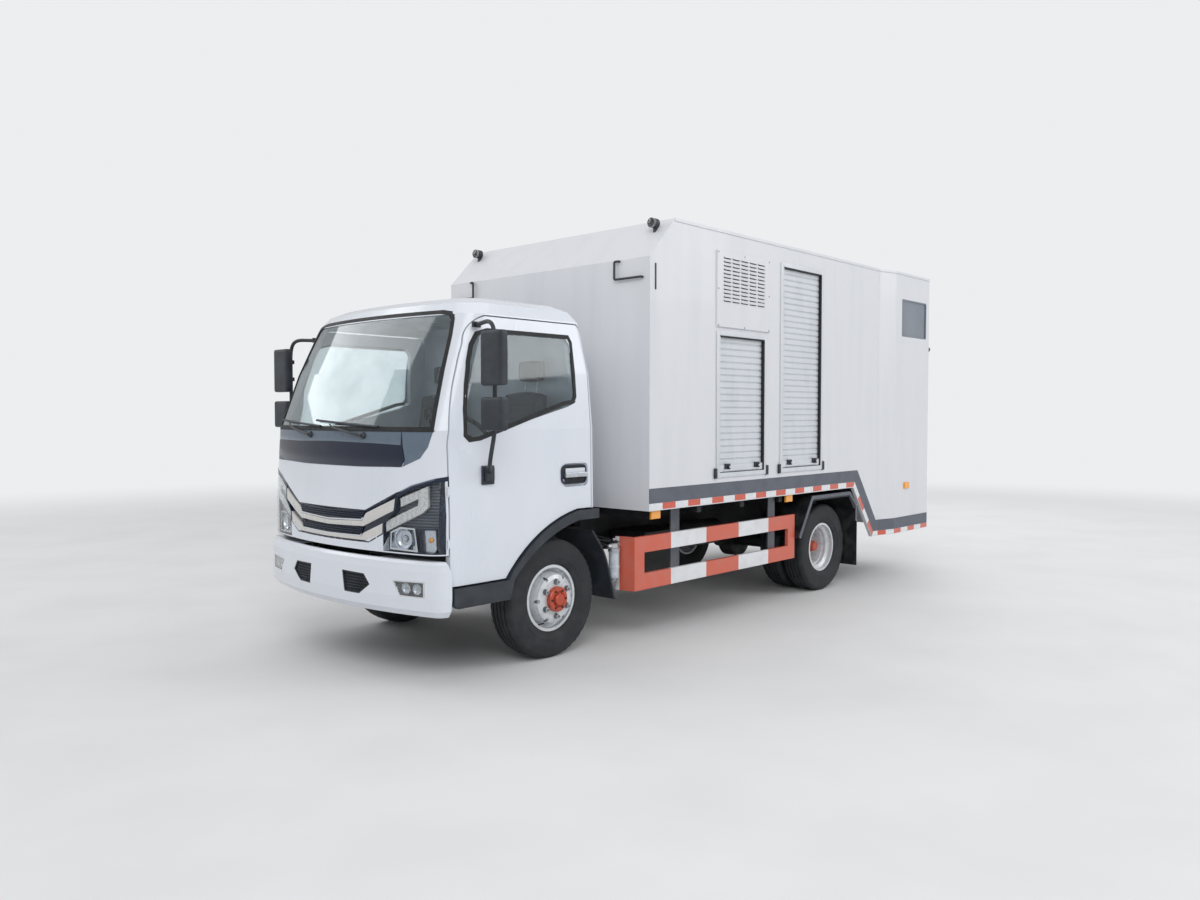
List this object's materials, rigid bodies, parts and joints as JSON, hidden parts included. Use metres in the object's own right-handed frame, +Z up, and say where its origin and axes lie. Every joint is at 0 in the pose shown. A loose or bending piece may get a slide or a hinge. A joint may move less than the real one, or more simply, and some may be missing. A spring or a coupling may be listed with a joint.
{
  "type": "garbage bin washing truck",
  "caption": "Light cab-over truck with a tall hollow bin-washing body, roller shutters, rear hatch, bin lift, tilting cab, opening doors, steered front wheels and twin rear wheels.",
  "frame": {"origin": "on the ground below the middle of the overall length and width", "axes": "+X forward along the truck, +Y to its left, +Z up"},
  "size_m": [6.32, 2.5, 2.95],
  "materials": {
    "cab_white": "gloss white paint",
    "body_white": "satin white paint",
    "chassis_black": "black chassis paint",
    "black_plastic": "grained black plastic",
    "gloss_black": "gloss black plastic",
    "silver_trim": "satin silver plastic",
    "glass": "clear tinted glass",
    "dark_glass": "grey tinted pane",
    "tyre": "black rubber",
    "rim_silver": "silver wheel paint",
    "steel": "bare steel",
    "shutter_white": "white coated slats",
    "guard_paint": "orange-red and white bands",
    "lamp_clear": "clear lamp",
    "lamp_amber": "amber lens",
    "lamp_red": "red lens",
    "seat_fabric": "woven seat cloth",
    "aluminium": "cast aluminium",
    "engine_iron": "painted cast iron"
  },
  "bodies": {
    "chassis": {"frame_rails": "chassis_black", "cross_members": "chassis_black", "front_axle": "chassis_black", "rear_axle": "chassis_black", "engine": "engine_iron", "fuel_tank": "aluminium", "battery_box": "black_plastic", "air_tanks": "chassis_black", "exhaust": "steel", "body_side_left": "body_white", "body_side_right": "body_white", "body_front_wall": "body_white", "body_roof": "body_white", "body_floor": "chassis_black", "body_subframe": "chassis_black", "body_bearers": "chassis_black", "rear_portal": "body_white", "shutter_curtains": "shutter_white", "louvre_panels": "body_white", "body_windows": "dark_glass", "side_guards": "guard_paint", "rear_mudguards": "black_plastic", "side_markers": "lamp_amber", "work_lamps": "lamp_clear", "rear_work_lamps": "lamp_clear", "tail_lamps": "lamp_red", "front_bumper": "cab_white", "bumper_inserts": "black_plastic"},
    "hatch": {"rear_hatch": "body_white"},
    "carriage": {"lift_carriage": "steel"},
    "cab": {"cab_floor": "chassis_black", "cab_roof": "cab_white", "cab_back_wall": "cab_white", "cab_side_frames": "cab_white", "cab_front_panel": "cab_white", "cab_glass": "glass", "cowl_panel": "gloss_black", "grille": "silver_trim", "headlamps": "lamp_clear", "dashboard": "black_plastic", "seats": "seat_fabric", "arch_flares": "black_plastic"},
    "steering_column": {"steering_wheel": "black_plastic"},
    "left_door": {"door_left": "cab_white", "door_glass_left": "glass", "mirror_left": "black_plastic"},
    "right_door": {"door_right": "cab_white", "door_glass_right": "glass", "mirror_right": "black_plastic"},
    "left_knuckle": {"knuckle_left": "chassis_black"},
    "right_knuckle": {"knuckle_right": "chassis_black"},
    "tie_bar": {"tie_rod": "chassis_black"},
    "front_left_wheel": {"tyre_front_left": "tyre", "rim_front_left": "rim_silver"},
    "front_right_wheel": {"tyre_front_right": "tyre", "rim_front_right": "rim_silver"},
    "rear_left_wheels": {"tyres_rear_left": "tyre", "rims_rear_left": "rim_silver"},
    "rear_right_wheels": {"tyres_rear_right": "tyre", "rims_rear_right": "rim_silver"}
  },
  "joints": [
    {"name": "steer_left", "type": "hinge", "parent": "chassis", "child": "left_knuckle", "pos_m": [2.04, 0.6, 0.386], "axis": [0, 0, 1], "range_deg": [-35, 35]},
    {"name": "steer_right", "type": "hinge", "parent": "chassis", "child": "right_knuckle", "pos_m": [2.04, -0.6, 0.386], "axis": [0, 0, 1], "range_deg": [-35, 35]},
    {"name": "tie_rod_turn", "type": "hinge", "parent": "left_knuckle", "child": "tie_bar", "pos_m": [1.87, 0.6, 0.274], "axis": [0, 0, 1], "range_deg": [-35, 35]},
    {"name": "front_left_roll", "type": "hinge", "parent": "left_knuckle", "child": "front_left_wheel", "pos_m": [2.04, 0.778, 0.386], "axis": [0, 1, 0], "continuous": true},
    {"name": "front_right_roll", "type": "hinge", "parent": "right_knuckle", "child": "front_right_wheel", "pos_m": [2.04, -0.778, 0.386], "axis": [0, 1, 0], "continuous": true},
    {"name": "rear_left_roll", "type": "hinge", "parent": "chassis", "child": "rear_left_wheels", "pos_m": [-1.268, 0.7495, 0.386], "axis": [0, 1, 0], "continuous": true},
    {"name": "rear_right_roll", "type": "hinge", "parent": "chassis", "child": "rear_right_wheels", "pos_m": [-1.268, -0.7495, 0.386], "axis": [0, 1, 0], "continuous": true},
    {"name": "cab_tilt", "type": "hinge", "parent": "chassis", "child": "cab", "pos_m": [3.07, 0, 0.66], "axis": [0, 1, 0], "range_deg": [0, 45]},
    {"name": "steering_turn", "type": "hinge", "parent": "cab", "child": "steering_column", "pos_m": [2.5, 0.47, 1.5], "axis": [-0.5299, 0, 0.848], "range_deg": [-540, 540]},
    {"name": "door_left_swing", "type": "hinge", "parent": "cab", "child": "left_door", "pos_m": [2.93, 0.926, 1], "axis": [0, 0, -1], "range_deg": [0, 70]},
    {"name": "door_right_swing", "type": "hinge", "parent": "cab", "child": "right_door", "pos_m": [2.93, -0.926, 1], "axis": [0, 0, 1], "range_deg": [0, 70]},
    {"name": "hatch_swing", "type": "hinge", "parent": "chassis", "child": "hatch", "pos_m": [-3.11, 0, 2.861], "axis": [0, 1, 0], "range_deg": [0, 95]},
    {"name": "lift_slide", "type": "slide", "parent": "chassis", "child": "carriage", "axis": [0, 0, 1], "range_m": [0, 1.4]}
  ],
  "couplings": [
    {"joint": "steer_right", "follows": "steer_left", "ratio": 1},
    {"joint": "tie_rod_turn", "follows": "steer_left", "ratio": -1},
    {"joint": "steering_turn", "follows": "steer_left", "ratio": 15}
  ]
}
